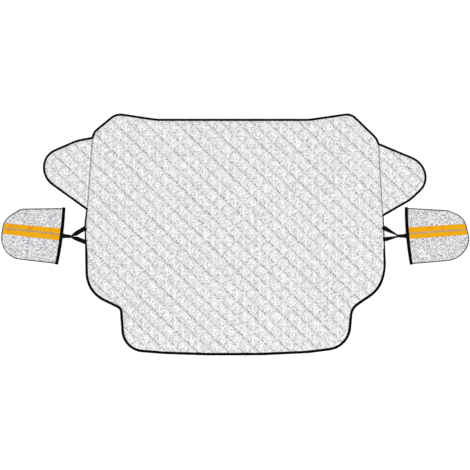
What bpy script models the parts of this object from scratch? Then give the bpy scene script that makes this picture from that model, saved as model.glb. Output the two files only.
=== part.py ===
"""A windshield frost cover, spread flat with its face up.

Metres, +Z up, +Y towards the top edge. A quilted main panel carries a door wing and a mirror
cover on each side. Every cloth edge is bound with folded tape.
"""

import math

import bmesh
import bpy
import numpy as np
from mathutils import Matrix, Vector

# Sizes of the materials
SEAT_GAP = 0.0003
CLOTH_PRESSED = 0.0015
TAPE_THICKNESS = 0.0008
BINDING_WIDTH = 0.0112
FOLD_ROUNDING = 0.7
FOIL_THICKNESS = 0.0010
EDGE_TAPE_THICKNESS = 0.0006
EDGE_TAPE_WIDTH = 0.0050
SEAM_TAPE_WIDTH = 0.020
SEAM_TAPE_END = 1.5 * BINDING_WIDTH

# The diamond quilting: its diagonals, one crossing of its lines, and the rise of a pillow
DIAMOND_WIDTH = 0.0767
DIAMOND_HEIGHT = 0.0747
QUILT_CROSSING = (0.0029, 0.1213)
QUILT_LINE_RISE = 0.0003
QUILT_LINE_HALF = 0.009
SHOULDER_RISE = 0.0022
CROWN_RISE = 0.0032
EDGE_FADE = 0.016
SEAM_MARGIN = 0.0045

# Where the wings meet the main panel, on the middle line of the binding
UPPER_LEFT = (-0.7062, 0.4785)
UPPER_RIGHT = (0.7089, 0.4480)
LOWER_RIGHT = (0.7290, 0.0934)
LOWER_LEFT = (-0.7321, 0.1244)

# Middle line of the binding, clockwise: corners of the pattern as x, y and radius
TOP_EDGE = [
    (-0.6971, 0.5085, 0.133),
    (-0.5889, 0.5972, 0.072),
    (-0.3888, 0.5674, 0.215),
    (0.3668, 0.5673, 0.194),
    (0.5731, 0.5972, 0.061),
    (0.6989, 0.4758, 0.143),
]
RIGHT_WING_EDGE = [
    (0.9247, 0.3578, 0.109),
    (0.9528, 0.2535, 0.113),
    (0.8671, 0.1734, 0.102),
]
LOWER_EDGE = [
    (0.7422, -0.1830, 0.275),
    (0.7085, -0.2757, 0.167),
    (0.5774, -0.3654, 0.072),
    (0.5600, -0.5566, 0.119),
    (0.3624, -0.5820, 0.309),
    (0.1303, -0.5926, 0.506),
    (-0.1342, -0.5933, 0.503),
    (-0.3512, -0.5865, 0.301),
    (-0.5519, -0.5704, 0.107),
    (-0.5659, -0.3661, 0.030),
    (-0.7344, -0.2835, 0.162),
    (-0.7380, -0.0615, 0.300),
    (-0.7415, 0.0525, 0.099),
]
LEFT_WING_EDGE = [
    (-0.9491, 0.2803, 0.108),
    (-0.9438, 0.3941, 0.094),
    (-0.7846, 0.4633, 0.202),
]

# The mirror covers, each in its own frame: x from the middle of the mouth to the tip, y up the mouth
HEM_WIDTH = 0.0145
MOUTH_BOW = 0.006
MOUTH_RISE = 0.0125
FLAT_RIM_SHARE = 0.94
MIRROR_COVERS = {
    "left": {
        "mouth_middle": (-0.8591, -0.0069),
        "tip_direction": 172.7,
        "up": -1,
        "mouth_top": 0.138,
        "mouth_foot": -0.140,
        "outline": [
            (0.220, 0.107, 0.067),
            (0.296, 0.042, 0.090),
            (0.296, -0.076, 0.118),
            (0.236, -0.142, 0.177),
        ],
        "bright_tape_mouth": (-0.0240, 0.0369),
        "bright_tape_tip": (-0.0246, 0.0236),
        "reflective_line": (0.0074, 0.0010),
    },
    "right": {
        "mouth_middle": (0.8522, -0.0069),
        "tip_direction": 5.1,
        "up": 1,
        "mouth_top": 0.139,
        "mouth_foot": -0.140,
        "outline": [
            (0.212, 0.108, 0.062),
            (0.290, 0.066, 0.096),
            (0.308, -0.072, 0.107),
            (0.233, -0.141, 0.212),
        ],
        "bright_tape_mouth": (-0.0157, 0.0414),
        "bright_tape_tip": (-0.0203, 0.0285),
        "reflective_line": (0.0109, 0.0053),
    },
}
BRIGHT_TAPE_THICKNESS = 0.0005
REFLECTIVE_WIDTH = 0.0065
REFLECTIVE_THICKNESS = 0.0003
TRIM_GAP = 0.0004

# The straps: two legs of webbing from the panel's side, brought on edge at the meeting point
WEBBING_WIDTH = 0.022
WEBBING_THICKNESS = 0.0012
STRAP_TWIST = math.radians(80)
STRAP_TWIST_RUN = 0.046
STRAP_BEND = 0.014
STRAP_HOLD_SHARE = 0.8
STRAP_EASE = 0.0017
STRAP_SEWN = 0.0028
STRAPS = {
    "left": {"upper_height": 0.0325, "lower_height": -0.0385, "meeting": (-0.8116, -0.0100)},
    "right": {"upper_height": 0.0355, "lower_height": -0.0255, "meeting": (0.8064, -0.0075)},
}

# Heights worked out from the sizes above
CLOTH_FOOT = TAPE_THICKNESS + SEAT_GAP
CLOTH_TOP = CLOTH_FOOT + CLOTH_PRESSED
BINDING_HEIGHT = CLOTH_TOP + SEAT_GAP + TAPE_THICKNESS
CLOTH_REACH = BINDING_WIDTH / 2 - TAPE_THICKNESS - SEAT_GAP
BACK_FOOT = EDGE_TAPE_THICKNESS + SEAT_GAP
BACK_TOP = BACK_FOOT + FOIL_THICKNESS
FRONT_FOOT = BACK_TOP + SEAT_GAP
EDGE_HEIGHT = FRONT_FOOT + FOIL_THICKNESS + SEAT_GAP + EDGE_TAPE_THICKNESS

# How finely curves are divided, and the tolerances of the outline work
ARC_STEP = math.radians(15)
CORNER_SHARE = 0.495
RING_SHARES = (0.0, 0.22, 0.44, 0.64, 0.80, FLAT_RIM_SHARE, 1.0)
TAPE_ROWS = 9
TWIST_STEPS = 9
STUB_STEPS = 12
WELD = 0.000002
TINY = 1e-12
OUTLINE_TOLERANCE = 1e-6


def clear_scene():
    for thing in list(bpy.data.objects):
        bpy.data.objects.remove(thing, do_unlink=True)


def new_collection(name):
    made = bpy.data.collections.new(name)
    bpy.context.scene.collection.children.link(made)
    return made


def new_material(name, colour, roughness, metallic=0.0):
    made = bpy.data.materials.new(name)
    made.use_nodes = True
    shader = made.node_tree.nodes["Principled BSDF"]
    shader.inputs["Base Color"].default_value = (*colour, 1.0)
    shader.inputs["Roughness"].default_value = roughness
    shader.inputs["Metallic"].default_value = metallic
    made.diffuse_color = (*colour, 1.0)
    return made


# Outlines


def rounded_path(start, corners, end):
    """Straight runs from start to end, with an arc in place of each corner."""
    stops = [np.array(start[:2]), *(np.array(corner[:2]) for corner in corners), np.array(end[:2])]
    path = [stops[0]]
    for before, corner, after, radius in zip(stops, stops[1:], stops[2:], [c[2] for c in corners]):
        back = (before - corner) / np.linalg.norm(before - corner)
        onward = (after - corner) / np.linalg.norm(after - corner)
        half = math.acos(float(np.clip(back @ onward, -1, 1))) / 2
        room = min(np.linalg.norm(before - corner), np.linalg.norm(after - corner)) * CORNER_SHARE
        cut = min(radius / math.tan(half), room)
        radius = cut * math.tan(half)
        centre = corner + (back + onward) / np.linalg.norm(back + onward) * radius / math.sin(half)
        arm = corner + back * cut - centre
        turn = math.pi - 2 * half
        if arm[0] * onward[1] - arm[1] * onward[0] < 0:
            turn = -turn
        steps = max(1, math.ceil(abs(turn) / ARC_STEP))
        for step in range(steps + 1):
            c, s = math.cos(turn * step / steps), math.sin(turn * step / steps)
            path.append(centre + np.array([c * arm[0] - s * arm[1], s * arm[0] + c * arm[1]]))
    path.append(stops[-1])
    return np.array(path)


def offset_path(path, outward):
    """The path moved to its left, which is outward for a path that runs clockwise."""
    runs = np.diff(path, axis=0)
    runs /= np.linalg.norm(runs, axis=1)[:, None]
    normals = np.stack([-runs[:, 1], runs[:, 0]], 1)
    first = np.vstack([normals[:1], normals])
    second = np.vstack([normals, normals[-1:]])
    mitre = (first + second) / (1 + (first * second).sum(1))[:, None]
    return path + mitre * outward


def cut_path(path, point, direction):
    """The part of the path that lies to the left of a line, with its ends on the line."""
    point, direction = np.array(point), np.array(direction)
    rest = path - point
    side = direction[0] * rest[:, 1] - direction[1] * rest[:, 0]
    kept = []
    for here, there, a, b in zip(path, path[1:], side, side[1:]):
        if a > 0:
            kept.append(here)
        if a * b < 0:
            kept.append(here + (there - here) * a / (a - b))
    if side[-1] > 0:
        kept.append(path[-1])
    return np.array(kept)


def along(path, distance):
    """The path without its first stretch of this length."""
    runs = np.linalg.norm(np.diff(path, axis=0), axis=1)
    for number, run in enumerate(runs):
        if distance < run:
            first = path[number] + (path[number + 1] - path[number]) * distance / run
            return np.vstack([first[None], path[number + 1 :]])
        distance -= run
    return path[-1:]


def trimmed(path, first, last):
    return along(along(path, first)[::-1], last)[::-1]


def turn_between(path_in, path_out):
    """The angle by which one path turns into the next."""
    a, b = path_in[-1] - path_in[-2], path_out[1] - path_out[0]
    return abs(math.atan2(a[0] * b[1] - a[1] * b[0], a @ b))


def distance_to(path, points):
    start, run = path[:-1], np.diff(path, axis=0)
    rest = points[:, None] - start
    share = np.clip((rest * run).sum(2) / (run**2).sum(1), 0, 1)
    return np.linalg.norm(rest - share[..., None] * run, axis=2).min(1)


def inside(outline, points):
    a, b = outline, np.roll(outline, -1, axis=0)
    x, y = points[:, :1], points[:, 1:]
    crosses = (a[:, 1] > y) != (b[:, 1] > y)
    rise = np.where(b[:, 1] == a[:, 1], 1.0, b[:, 1] - a[:, 1])
    return (crosses & (x < a[:, 0] + (y - a[:, 1]) * (b[:, 0] - a[:, 0]) / rise)).sum(1) % 2 == 1


# Solids


def add_object(name, mesh, home, material=None):
    made = bpy.data.objects.new(name, mesh)
    home.objects.link(made)
    if material is not None:
        made.data.materials.clear()
        made.data.materials.append(material)
    return made


def curve_of(name, splines, flat, cyclic):
    """A curve of straight runs through lists of points."""
    curve = bpy.data.curves.new(name, "CURVE")
    curve.dimensions = "2D" if flat else "3D"
    for points in splines:
        spline = curve.splines.new("POLY")
        spline.points.add(len(points) - 1)
        for target, point in zip(spline.points, points):
            target.co = (*point, *([0.0] * (3 - len(point))), 1.0)
        spline.use_cyclic_u = cyclic
    return curve


def mesh_of(thing):
    """The welded mesh of an object as it is drawn, with its faces pointing out."""
    bpy.context.view_layer.update()
    graph = bpy.context.evaluated_depsgraph_get()
    mesh = bpy.data.meshes.new_from_object(thing.evaluated_get(graph), depsgraph=graph)
    mesh.transform(thing.matrix_world)
    shape = bmesh.new()
    shape.from_mesh(mesh)
    bmesh.ops.remove_doubles(shape, verts=shape.verts, dist=WELD)
    bmesh.ops.recalc_face_normals(shape, faces=shape.faces)
    shape.to_mesh(mesh)
    shape.free()
    return mesh


def plate(name, outline, low, high, home, material=None):
    """A flat solid with this outline, between two heights."""
    curve = curve_of(name, [outline], flat=True, cyclic=True)
    curve.fill_mode = "BOTH"
    curve.extrude = (high - low) / 2
    drawn = bpy.data.objects.new(name + "_outline", curve)
    drawn.location.z = (low + high) / 2
    home.objects.link(drawn)
    mesh = mesh_of(drawn)
    bpy.data.objects.remove(drawn)
    mesh.name = name
    return add_object(name, mesh, home, material)


def join(thing, other, operation):
    modifier = thing.modifiers.new(operation.lower(), "BOOLEAN")
    modifier.operation = operation
    modifier.solver = "EXACT"
    modifier.object = other
    mesh = mesh_of(thing)
    thing.modifiers.remove(modifier)
    thing.data = mesh
    return thing


def as_guide(thing):
    thing.hide_render = True
    thing.display_type = "WIRE"
    return thing


def swept(name, path, profile, home, guides, material, tilts=None, height=0.0):
    """A tape carried along a path with closed ends. Its section is given as outward and up."""
    curve = curve_of(name, [[(*point, *([height] * (3 - len(point)))) for point in path]], False, False)
    if tilts is not None:
        for target, tilt in zip(curve.splines[0].points, tilts):
            target.tilt = tilt
    turned = [(-outward, up) for outward, up in profile]
    section = bpy.data.objects.new(name + "_section", curve_of(name + "_section", [turned], True, True))
    guides.objects.link(as_guide(section))
    curve.twist_mode = "Z_UP"
    curve.bevel_mode = "OBJECT"
    curve.bevel_object = section
    curve.use_fill_caps = True
    drawn = bpy.data.objects.new(name + "_path", curve)
    home.objects.link(drawn)
    mesh = mesh_of(drawn)
    bpy.data.objects.remove(drawn)
    mesh.name = name
    return add_object(name, mesh, home, material)


def folded_section(width, height, thickness):
    """The section of a tape folded over an edge, its fold on the outer side."""
    half, rounding = width / 2, thickness * FOLD_ROUNDING
    return [
        (-half, 0),
        (half - rounding, 0),
        (half, rounding),
        (half, height - rounding),
        (half - rounding, height),
        (-half, height),
        (-half, height - thickness),
        (half - thickness, height - thickness),
        (half - thickness, thickness),
        (-half, thickness),
    ]


# The quilted cloth


def quilt_relief(name, outline, edge, home):
    """The pillows of one panel: a grid of diamonds, each inset, raised and poked to a crown."""
    across = np.array([DIAMOND_WIDTH / 2, DIAMOND_HEIGHT / 2])
    back = np.array([-DIAMOND_WIDTH / 2, DIAMOND_HEIGHT / 2])
    low, high = outline.min(0), outline.max(0)
    reach = (high - low) / [DIAMOND_WIDTH, DIAMOND_HEIGHT]
    count = 2 * (math.ceil(reach.sum() / 2) + 1)
    middle = ((low + high) / 2 - QUILT_CROSSING) / [DIAMOND_WIDTH, DIAMOND_HEIGHT]
    first = round(middle.sum()), round(middle[1] - middle[0])
    shape = bmesh.new()
    bmesh.ops.create_grid(shape, x_segments=count, y_segments=count, size=count / 2)
    for vertex in shape.verts:
        spot = QUILT_CROSSING + (vertex.co.x + first[0]) * across + (vertex.co.y + first[1]) * back
        vertex.co = (*spot, 0)
    centres = np.array([face.calc_center_median()[:2] for face in shape.faces])
    near = inside(outline, centres) | (distance_to(edge, centres) < DIAMOND_WIDTH / 2)
    spare = [face for face, use in zip(shape.faces, near) if not use]
    bmesh.ops.delete(shape, geom=spare, context="FACES")
    diamonds = shape.faces[:]
    bmesh.ops.recalc_face_normals(shape, faces=diamonds)
    if diamonds[0].normal.z < 0:
        bmesh.ops.reverse_faces(shape, faces=diamonds)
    bmesh.ops.inset_individual(
        shape,
        faces=diamonds,
        thickness=QUILT_LINE_HALF,
        depth=SHOULDER_RISE,
        use_even_offset=True,
    )
    bmesh.ops.poke(shape, faces=diamonds, offset=CROWN_RISE - SHOULDER_RISE)
    spots = np.array([vertex.co[:2] for vertex in shape.verts])
    fade = np.where(inside(outline, spots), np.clip(distance_to(edge, spots) / EDGE_FADE, 0, 1), 0)
    for vertex, share in zip(shape.verts, fade):
        vertex.co.z = CLOTH_TOP + QUILT_LINE_RISE + vertex.co.z * share
    foot = bmesh.ops.extrude_face_region(shape, geom=shape.faces[:], use_keep_orig=True)["geom"]
    for vertex in (thing for thing in foot if isinstance(thing, bmesh.types.BMVert)):
        vertex.co.z = (CLOTH_FOOT + CLOTH_TOP) / 2
    bmesh.ops.recalc_face_normals(shape, faces=shape.faces)
    mesh = bpy.data.meshes.new(name)
    shape.to_mesh(mesh)
    shape.free()
    return add_object(name, mesh, home)


def quilted_cloth(name, outline, relief_outline, home, guides, material):
    """One cut piece of quilted cloth: pressed flat in its seams, with pillows between them."""
    edge = np.vstack([relief_outline, relief_outline[:1]])
    relief = quilt_relief(name + "_relief", relief_outline, edge, guides)
    bound = plate(name + "_bound", relief_outline, 0.0, CLOTH_TOP + 2 * CROWN_RISE, guides)
    join(relief, bound, "INTERSECT")
    cloth = plate(name, outline, CLOTH_FOOT, CLOTH_TOP, home, material)
    join(cloth, relief, "UNION")
    cloth.data.materials.clear()
    cloth.data.materials.append(material)
    as_guide(relief)
    as_guide(bound)
    return cloth


# The mirror covers


def bowed(point, half, length):
    """A point of a mirror cover, moved as the middle of the mouth is drawn towards the strap."""
    x, y, z = point
    share = max(0.0, 1 - (y / half) ** 2) * max(0.0, 1 - x / length)
    return (x - MOUTH_BOW * share, y, z)


class MirrorCover:
    """The outline of one mirror cover and the form of its raised front."""

    def __init__(self, sizes):
        self.up = sizes["up"]
        start, end = (0.0, sizes["mouth_top"]), (0.0, sizes["mouth_foot"])
        path = rounded_path(start, sizes["outline"], end)
        self.path = path * [1, self.up]
        self.half = max(abs(start[1]), abs(end[1]))
        self.length = path[:, 0].max()

    def share_out(self, x, y):
        """How far out a point lies: 0 at the middle of the mouth, 1 on the outline."""
        run = np.diff(self.path, axis=0)
        start = self.path[:-1]
        cross = run[:, 0] * y - run[:, 1] * x
        cross = np.where(abs(cross) < TINY, TINY, cross)
        reach = (run[:, 0] * start[:, 1] - run[:, 1] * start[:, 0]) / cross
        place = (x * start[:, 1] - y * start[:, 0]) / cross
        hit = (reach > 0) & (place > -OUTLINE_TOLERANCE) & (place < 1 + OUTLINE_TOLERANCE)
        return 1 / reach[hit].min() if hit.any() else 0.0

    def rise(self, x, y):
        """Height of the front above its flat rim."""
        share = min(1.0, self.share_out(x, y) / FLAT_RIM_SHARE)
        return MOUTH_RISE * (1 - share**2)

    def bow(self, shape):
        for vertex in shape.verts:
            vertex.co = bowed(vertex.co, self.half, self.length)


def thickened(name, shape, thickness, home, material):
    """An open surface given its thickness upwards."""
    mesh = bpy.data.meshes.new(name)
    shape.to_mesh(mesh)
    shape.free()
    made = add_object(name, mesh, home, material)
    wall = made.modifiers.new("thickness", "SOLIDIFY")
    wall.thickness = thickness
    wall.offset = 1.0
    wall.use_even_offset = True
    return made


def face_up(shape):
    bmesh.ops.recalc_face_normals(shape, faces=shape.faces)
    if sum(face.normal.z * face.calc_area() for face in shape.faces) < 0:
        bmesh.ops.reverse_faces(shape, faces=shape.faces)


def cover_panel(name, cover, foot, raised, home, material):
    """A half-round panel: a grid whose rows are rings round the middle of the mouth."""
    rim = cover.path
    shape = bmesh.new()
    bmesh.ops.create_grid(shape, x_segments=len(rim) - 1, y_segments=len(RING_SHARES) - 1, size=0.5)
    for vertex in shape.verts:
        column = round((vertex.co.x + 0.5) * (len(rim) - 1))
        share = RING_SHARES[round((vertex.co.y + 0.5) * (len(RING_SHARES) - 1))]
        x, y = rim[column] * share
        height = MOUTH_RISE * (1 - min(1.0, share / FLAT_RIM_SHARE) ** 2) if raised else 0.0
        vertex.co = (x, y, foot + height)
    cover.bow(shape)
    bmesh.ops.remove_doubles(shape, verts=shape.verts, dist=WELD)
    face_up(shape)
    return thickened(name, shape, FOIL_THICKNESS, home, material)


def cover_strip(name, cover, mouth, tip, columns, lift, thickness, home, material):
    """A tape laid along the front, from the hem to the bound edge, between two lines."""
    near = HEM_WIDTH + SEAT_GAP
    inset = EDGE_TAPE_WIDTH - EDGE_TAPE_THICKNESS
    shape = bmesh.new()
    bmesh.ops.create_grid(shape, x_segments=TAPE_ROWS, y_segments=columns, size=0.5)
    for vertex in shape.verts:
        side = vertex.co.y + 0.5
        from_y = (mouth[0] + (mouth[1] - mouth[0]) * side) * cover.up
        to_y = (tip[0] + (tip[1] - tip[0]) * side) * cover.up
        slope = (to_y - from_y) / (cover.length - near)
        end = cover.length
        for _ in range(4):
            end_y = from_y + slope * (end - near)
            end = end / cover.share_out(end, end_y)
        far = end - inset - 2 * SEAT_GAP
        x = near + (far - near) * (vertex.co.x + 0.5)
        y = from_y + slope * (x - near)
        vertex.co = (x, y, lift + cover.rise(x, y))
    cover.bow(shape)
    face_up(shape)
    return thickened(name, shape, thickness, home, material)


def across_mouth(name, cover, heights, spread, shares, depths, home):
    """A solid across the mouth with a flat foot and an arched top, between two depths."""
    ends = cover.path[0][1], cover.path[-1][1]
    stations = [min(ends) * share for share in reversed(shares)]
    stations += [max(ends) * share for share in shares[1:]]
    shape = bmesh.new()
    bmesh.ops.create_grid(shape, x_segments=len(stations) - 1, y_segments=1, size=0.5)
    for vertex in shape.verts:
        column = round((vertex.co.x + 0.5) * (len(stations) - 1))
        y = stations[column]
        z = heights[0] if vertex.co.y < 0 else heights[1] + cover.rise(0.0, y)
        y += spread * ((column == len(stations) - 1) - (column == 0))
        vertex.co = (depths[0], y, z)
    far = bmesh.ops.extrude_face_region(shape, geom=shape.faces[:], use_keep_orig=True)["geom"]
    for vertex in (thing for thing in far if isinstance(thing, bmesh.types.BMVert)):
        vertex.co.x = depths[1]
    bmesh.ops.recalc_face_normals(shape, faces=shape.faces)
    mesh = bpy.data.meshes.new(name)
    shape.to_mesh(mesh)
    shape.free()
    return add_object(name, mesh, home)


def cover_hem(name, cover, home, guides, material):
    """The hem: a tape round the mouth, folded over the cut edges of front and back."""
    wall = EDGE_TAPE_THICKNESS
    front_top = FRONT_FOOT + FOIL_THICKNESS
    outer = (0.0, front_top + SEAT_GAP + wall)
    hem = across_mouth(name, cover, outer, SEAT_GAP + wall, RING_SHARES, (-SEAT_GAP - wall, HEM_WIDTH), home)
    pocket = (wall, front_top + SEAT_GAP)
    pocket_cut = across_mouth(
        name + "_pocket", cover, pocket, SEAT_GAP, RING_SHARES, (-SEAT_GAP, 2 * HEM_WIDTH), guides
    )
    mouth = (BACK_TOP, FRONT_FOOT)
    mouth_cut = across_mouth(
        name + "_mouth", cover, mouth, 0.0, RING_SHARES[:-1], (-HEM_WIDTH, 3 * HEM_WIDTH), guides
    )
    join(hem, pocket_cut, "DIFFERENCE")
    join(hem, mouth_cut, "DIFFERENCE")
    as_guide(pocket_cut)
    as_guide(mouth_cut)
    shape = bmesh.new()
    shape.from_mesh(hem.data)
    bmesh.ops.triangulate(shape, faces=shape.faces)
    cover.bow(shape)
    shape.to_mesh(hem.data)
    shape.free()
    hem.data.materials.clear()
    hem.data.materials.append(material)
    return hem


def cover_edge_binding(name, cover, home, guides, material):
    """The narrow tape over the curved edge, from one end of the hem to the other."""
    outward = SEAT_GAP + EDGE_TAPE_THICKNESS - EDGE_TAPE_WIDTH / 2
    clockwise = cover.path if cover.up > 0 else cover.path[::-1]
    path = offset_path(clockwise, outward)
    path = cut_path(path, (HEM_WIDTH + SEAT_GAP, 0.0), (0.0, -1.0))
    path = [bowed((*point, 0.0), cover.half, cover.length) for point in path]
    section = folded_section(EDGE_TAPE_WIDTH, EDGE_HEIGHT, EDGE_TAPE_THICKNESS)
    return swept(name, path, section, home, guides, material)


def strap_leg(name, start, outward, meeting, frame, layer, home, guides, material):
    """One leg of webbing: flat on the panel's binding, on edge at the meeting point, flat on the hem."""
    half = WEBBING_THICKNESS / 2
    step = half + SEAT_GAP / 2
    sewn_height = BINDING_HEIGHT + SEAT_GAP + half
    edge_height = WEBBING_WIDTH / 2 * math.sin(STRAP_TWIST) + WEBBING_THICKNESS
    hem_top = FRONT_FOOT + MOUTH_RISE + FOIL_THICKNESS + SEAT_GAP + EDGE_TAPE_THICKNESS
    hem_height = hem_top + SEAT_GAP + half + step
    start, meeting = Vector(start), Vector(meeting)
    lip = (frame @ Vector((-MOUTH_BOW - EDGE_TAPE_THICKNESS - SEAT_GAP, 0.0, 0.0))).xy
    end = (frame @ Vector((HEM_WIDTH * STRAP_HOLD_SHARE - MOUTH_BOW, 0.0, 0.0))).xy
    inner = start - (meeting - start).normalized() * STRAP_SEWN
    plan = rounded_path(inner, [(*meeting, STRAP_BEND)], end)
    runs = np.concatenate([[0], np.cumsum(np.linalg.norm(np.diff(plan, axis=0), axis=1))])
    apex = (inner - meeting).length
    stub = (lip - meeting).length
    stops = [0.0, *(apex + STRAP_TWIST_RUN * n / TWIST_STEPS for n in range(-TWIST_STEPS, 0))]
    stops += [apex + stub * n / STUB_STEPS for n in range(STUB_STEPS + 1)] + [runs[-1]]
    points, tilts = [], []
    for stop in stops:
        spot = [np.interp(stop, runs, plan[:, axis]) for axis in (0, 1)]
        beyond = stop >= apex
        away = abs(stop - apex) / (stub if beyond else STRAP_TWIST_RUN)
        tilt = STRAP_TWIST * (1 - smooth(away))
        foot = hem_height if beyond else sewn_height
        height = foot + (edge_height - foot) * math.sin(tilt) / math.sin(STRAP_TWIST)
        eased = step + STRAP_EASE * math.sin(2 * tilt)
        apart = eased * layer * (1 if beyond else 1 - smooth(away))
        points.append((spot[0], spot[1] + apart * math.sin(tilt), height + apart * math.cos(tilt)))
        tilts.append(-tilt * outward)
    half_width = WEBBING_WIDTH / 2
    places = (-half_width, 0.0, half_width)
    section = [(place, -half) for place in places] + [(place, half) for place in reversed(places)]
    return swept(name, points, section, home, guides, material, tilts)


def smooth(u):
    u = min(1.0, max(0.0, u))
    return u * u * (3 - 2 * u)


def point_at_height(path, height, outward):
    """Where the outermost run of a path passes a height."""
    found = []
    for a, b in zip(path, path[1:]):
        if (a[1] - height) * (b[1] - height) <= 0 and a[1] != b[1]:
            found.append(a[0] + (b[0] - a[0]) * (height - a[1]) / (b[1] - a[1]))
    return (max(found) if outward > 0 else min(found)), height


# Building the cover

clear_scene()
COVER = new_collection("windshield_frost_cover")
GUIDES = new_collection("guides")
QUILTED_FOIL = new_material("quilted_foil", (0.75, 0.75, 0.77), 0.42, 0.55)
CRINKLED_FOIL = new_material("crinkled_foil", (0.64, 0.65, 0.67), 0.38, 0.6)
BLACK_TAPE = new_material("black_tape", (0.012, 0.012, 0.013), 0.85)
GREY_TAPE = new_material("grey_tape", (0.16, 0.16, 0.17), 0.8)
ORANGE_TAPE = new_material("orange_tape", (0.85, 0.43, 0.03), 0.6)
REFLECTIVE_TAPE = new_material("reflective_tape", (0.36, 0.34, 0.31), 0.35, 0.3)
BLACK_WEBBING = new_material("black_webbing", (0.01, 0.01, 0.011), 0.8)

top_path = rounded_path(UPPER_LEFT, TOP_EDGE, UPPER_RIGHT)
right_wing_path = rounded_path(UPPER_RIGHT, RIGHT_WING_EDGE, LOWER_RIGHT)
lower_path = rounded_path(LOWER_RIGHT, LOWER_EDGE, LOWER_LEFT)
left_wing_path = rounded_path(LOWER_LEFT, LEFT_WING_EDGE, UPPER_LEFT)


def setback(path_in, path_out):
    """How far one tape's end stays from a joint, so that it only meets the tape it turns into."""
    return BINDING_WIDTH * math.tan(turn_between(path_in, path_out) / 2) + SEAT_GAP


right_step = setback(right_wing_path, lower_path)
left_step = setback(left_wing_path[::-1], lower_path[::-1])
bound_lower_path = trimmed(lower_path, right_step, left_step)
right_seam = np.array(LOWER_RIGHT) - UPPER_RIGHT
left_seam = np.array(UPPER_LEFT) - LOWER_LEFT
right_seam /= np.linalg.norm(right_seam)
left_seam /= np.linalg.norm(left_seam)
right_out = np.array([-right_seam[1], right_seam[0]])
left_out = np.array([-left_seam[1], left_seam[0]])


def main_outline(outward, seam_inset):
    """The main panel's outline, with its free edges and its seams moved by their own distances."""
    right_line = np.array(UPPER_RIGHT) - right_out * seam_inset
    left_line = np.array(UPPER_LEFT) - left_out * seam_inset
    top = offset_path(top_path, outward)
    top = cut_path(np.vstack([top[0] * 2 - top[1], top, top[-1] * 2 - top[-2]]), left_line, -left_seam)
    top = cut_path(top, right_line, -right_seam)
    lower = offset_path(bound_lower_path, outward)
    back = max(0.0, -outward)
    right_end = bound_lower_path[0] - right_seam * back
    left_end = bound_lower_path[-1] + left_seam * back
    right_foot = right_end - right_out * (seam_inset + right_out @ (right_end - UPPER_RIGHT))
    left_foot = left_end - left_out * (seam_inset + left_out @ (left_end - UPPER_LEFT))
    return np.vstack([top, right_foot[None], lower, left_foot[None]])


def wing_outline(path, corner, direction, out, outward, seam_inset):
    """A wing's outline: its free edge, closed along the seam."""
    line = np.array(corner) + out * seam_inset
    edge = offset_path(path, outward)
    edge = np.vstack([edge[0] * 2 - edge[1], edge, edge[-1] * 2 - edge[-2]])
    return cut_path(edge, line, direction)


HALF_SEAM = SEAT_GAP / 2
TOP_END = 4 * TAPE_THICKNESS
RELIEF_REACH = -(BINDING_WIDTH / 2 + 2 * SEAT_GAP)
quilted_cloth(
    "main_panel",
    main_outline(CLOTH_REACH, HALF_SEAM),
    main_outline(RELIEF_REACH, SEAM_MARGIN),
    COVER,
    GUIDES,
    QUILTED_FOIL,
)
for name, path, corner, direction, out in (
    ("right_wing", right_wing_path, UPPER_RIGHT, right_seam, right_out),
    ("left_wing", left_wing_path, LOWER_LEFT, left_seam, left_out),
):
    quilted_cloth(
        name,
        wing_outline(path, corner, direction, out, CLOTH_REACH, HALF_SEAM),
        wing_outline(path, corner, direction, out, RELIEF_REACH, SEAM_MARGIN),
        COVER,
        GUIDES,
        QUILTED_FOIL,
    )

BINDING_SECTION = folded_section(BINDING_WIDTH, BINDING_HEIGHT, TAPE_THICKNESS)
for name, path in (
    ("top_binding", trimmed(top_path, TOP_END, TOP_END)),
    ("right_wing_binding", trimmed(right_wing_path, setback(top_path, right_wing_path), 0.0)),
    ("lower_binding", bound_lower_path),
    ("left_wing_binding", trimmed(left_wing_path, 0.0, setback(left_wing_path, top_path))),
):
    swept(name, path, BINDING_SECTION, COVER, GUIDES, BLACK_TAPE)

for name, start, end in (
    ("right_seam_tape", UPPER_RIGHT, LOWER_RIGHT),
    ("left_seam_tape", LOWER_LEFT, UPPER_LEFT),
):
    path = trimmed(np.array([start, end]), SEAM_TAPE_END, SEAM_TAPE_END)
    half = SEAM_TAPE_WIDTH / 2
    section = [(-half, 0), (half, 0), (half, TAPE_THICKNESS), (-half, TAPE_THICKNESS)]
    swept(name, path, section, COVER, GUIDES, GREY_TAPE)

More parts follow.
